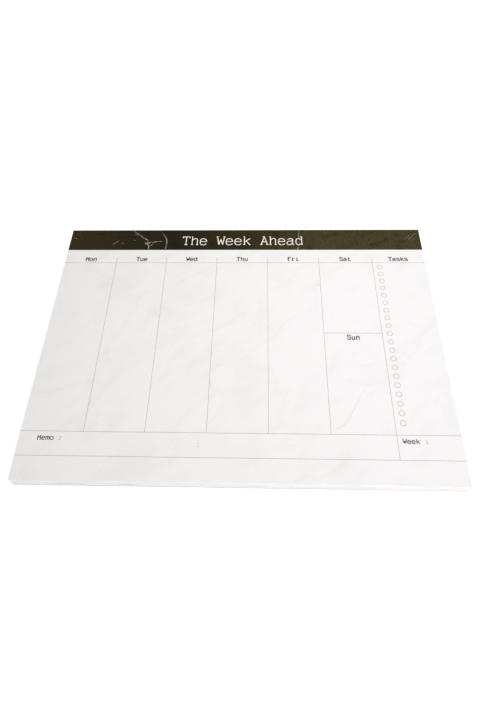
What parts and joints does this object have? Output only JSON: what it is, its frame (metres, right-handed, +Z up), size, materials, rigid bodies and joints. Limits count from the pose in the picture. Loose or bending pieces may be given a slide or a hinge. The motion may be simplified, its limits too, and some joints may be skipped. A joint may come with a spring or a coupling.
{
  "type": "desk planner pad",
  "caption": "Landscape tear-off desk pad of loose sheets on a grey board, glued along the head edge and printed with a dark head band, ruled columns and tick rings.",
  "frame": {"origin": "on the underside of the backing board, in the middle of the pad's outline", "axes": "+X across the page from left to right as it is read, +Y from the loose front edge towards the glued head edge, +Z up through the sheets"},
  "size_m": [0.3048, 0.229, 0.0111],
  "materials": {
    "greyboard": "matte",
    "paper": "matte",
    "glue": "satin",
    "header_ink": "matte",
    "rule_ink": "matte"
  },
  "bodies": {
    "root": {"backing_board": "greyboard", "page_block": "paper", "glue_binding": "glue", "header_print": "header_ink", "ruling_print": "rule_ink", "tick_ring_01": "rule_ink", "tick_ring_02": "rule_ink", "tick_ring_03": "rule_ink", "tick_ring_04": "rule_ink", "tick_ring_05": "rule_ink", "tick_ring_06": "rule_ink", "tick_ring_07": "rule_ink", "tick_ring_08": "rule_ink", "tick_ring_09": "rule_ink", "tick_ring_10": "rule_ink", "tick_ring_11": "rule_ink", "tick_ring_12": "rule_ink", "tick_ring_13": "rule_ink", "tick_ring_14": "rule_ink", "tick_ring_15": "rule_ink", "tick_ring_16": "rule_ink", "tick_ring_17": "rule_ink", "tick_ring_18": "rule_ink", "tick_ring_19": "rule_ink", "tick_ring_20": "rule_ink"}
  },
  "joints": []
}
